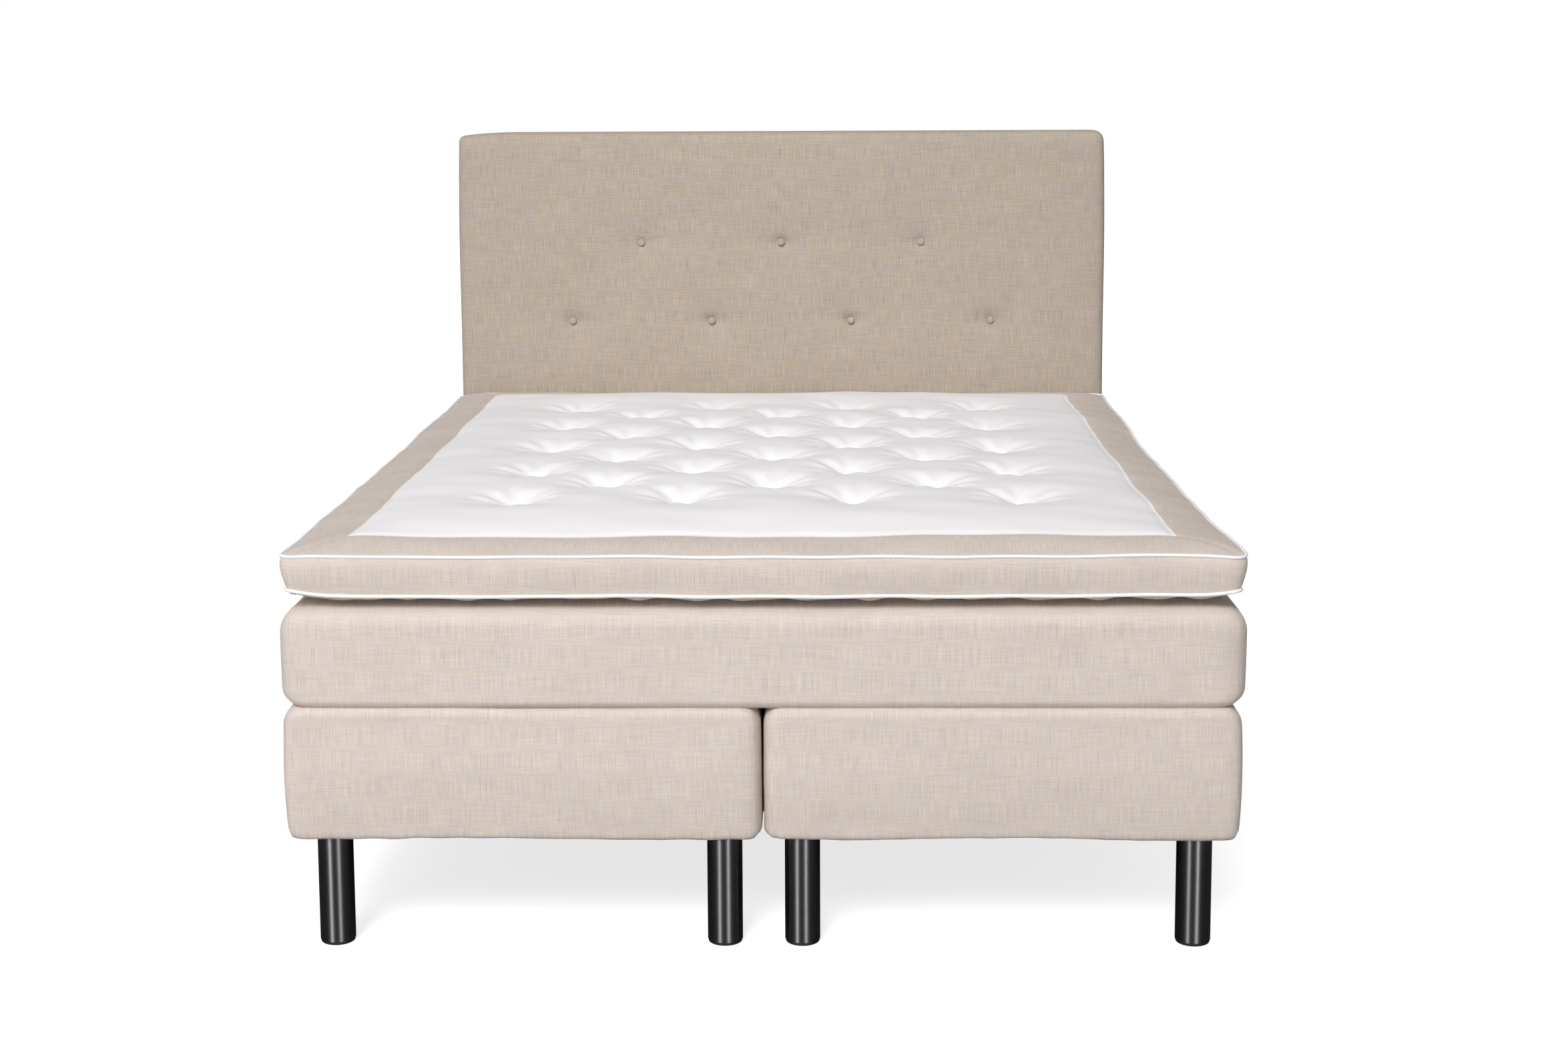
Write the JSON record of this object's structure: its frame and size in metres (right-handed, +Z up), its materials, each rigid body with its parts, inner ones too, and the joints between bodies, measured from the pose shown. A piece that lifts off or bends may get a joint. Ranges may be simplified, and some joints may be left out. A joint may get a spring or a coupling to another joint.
{
  "type": "box spring bed",
  "caption": "Upholstered box spring double bed: sprung bases on round metal legs, one-piece mattress, tufted topper and buttoned headboard.",
  "frame": {"origin": "on the floor, in the middle of the bed's footprint, headboard and its bolts included", "axes": "+Z up, +Y from the foot end towards the headboard, +X to the right seen from the foot end"},
  "size_m": [1.61, 2.112, 1.335],
  "materials": {
    "anthracite_metal": "satin",
    "beige_linen": "matte",
    "black_steel": "satin",
    "cotton_cord": "matte",
    "foam": "matte",
    "glide_plastic": "satin",
    "headboard_linen": "matte",
    "lining_cloth": "matte",
    "pine": "matte",
    "plywood": "matte",
    "pocket_cloth": "matte",
    "white_piping": "matte",
    "white_ticking": "matte",
    "zinc_steel": "satin"
  },
  "bodies": {
    "base": {"base_left_corner_blocks": "pine", "base_left_cover": "beige_linen", "base_left_cross_slats": "pine", "base_left_dust_cover": "lining_cloth", "base_left_end_rails": "pine", "base_left_foam_border": "foam", "base_left_pocket_springs": "pocket_cloth", "base_left_side_rails": "pine", "base_left_tee_nuts": "zinc_steel", "base_left_top_pad": "foam", "base_right_corner_blocks": "pine", "base_right_cover": "beige_linen", "base_right_cross_slats": "pine", "base_right_dust_cover": "lining_cloth", "base_right_end_rails": "pine", "base_right_foam_border": "foam", "base_right_pocket_springs": "pocket_cloth", "base_right_side_rails": "pine", "base_right_tee_nuts": "zinc_steel", "base_right_top_pad": "foam", "frame_screws": "zinc_steel", "headboard_bracket_left": "black_steel", "headboard_bracket_right": "black_steel", "leg_glides": "glide_plastic", "leg_studs": "zinc_steel", "leg_tube_left_front_inner": "anthracite_metal", "leg_tube_left_front_outer": "anthracite_metal", "leg_tube_left_rear_inner": "anthracite_metal", "leg_tube_left_rear_outer": "anthracite_metal", "leg_tube_right_front_inner": "anthracite_metal", "leg_tube_right_front_outer": "anthracite_metal", "leg_tube_right_rear_inner": "anthracite_metal", "leg_tube_right_rear_outer": "anthracite_metal", "link_plates": "zinc_steel"},
    "mattress": {"mattress_border": "beige_linen", "mattress_bottom_panel": "beige_linen", "mattress_foam_border": "foam", "mattress_lower_foam": "foam", "mattress_pocket_springs": "pocket_cloth", "mattress_top_panel": "beige_linen", "mattress_upper_foam": "foam"},
    "topper": {"topper_border": "beige_linen", "topper_bottom_panel": "white_ticking", "topper_core": "foam", "topper_piping_bottom": "white_piping", "topper_piping_top": "white_piping", "topper_top_panel": "white_ticking", "topper_tuft_ties": "cotton_cord"},
    "headboard": {"headboard_back_cloth": "lining_cloth", "headboard_bolts": "zinc_steel", "headboard_button_ties": "cotton_cord", "headboard_buttons_lower": "headboard_linen", "headboard_buttons_upper": "headboard_linen", "headboard_cover": "headboard_linen", "headboard_cross_rails": "pine", "headboard_foam": "foam", "headboard_panel": "plywood", "headboard_stiles": "pine", "headboard_tee_nuts": "zinc_steel", "headboard_washers": "zinc_steel"}
  },
  "joints": [
    {"name": "mattress_lift", "type": "slide", "parent": "base", "child": "mattress", "axis": [0, 0, 1], "range_m": [0, 0.92]},
    {"name": "topper_lift", "type": "slide", "parent": "mattress", "child": "topper", "axis": [0, 0, 1], "range_m": [0, 0.74]},
    {"name": "headboard_height", "type": "slide", "parent": "base", "child": "headboard", "axis": [0, 0, 1], "range_m": [-0.02, 0.04]}
  ]
}
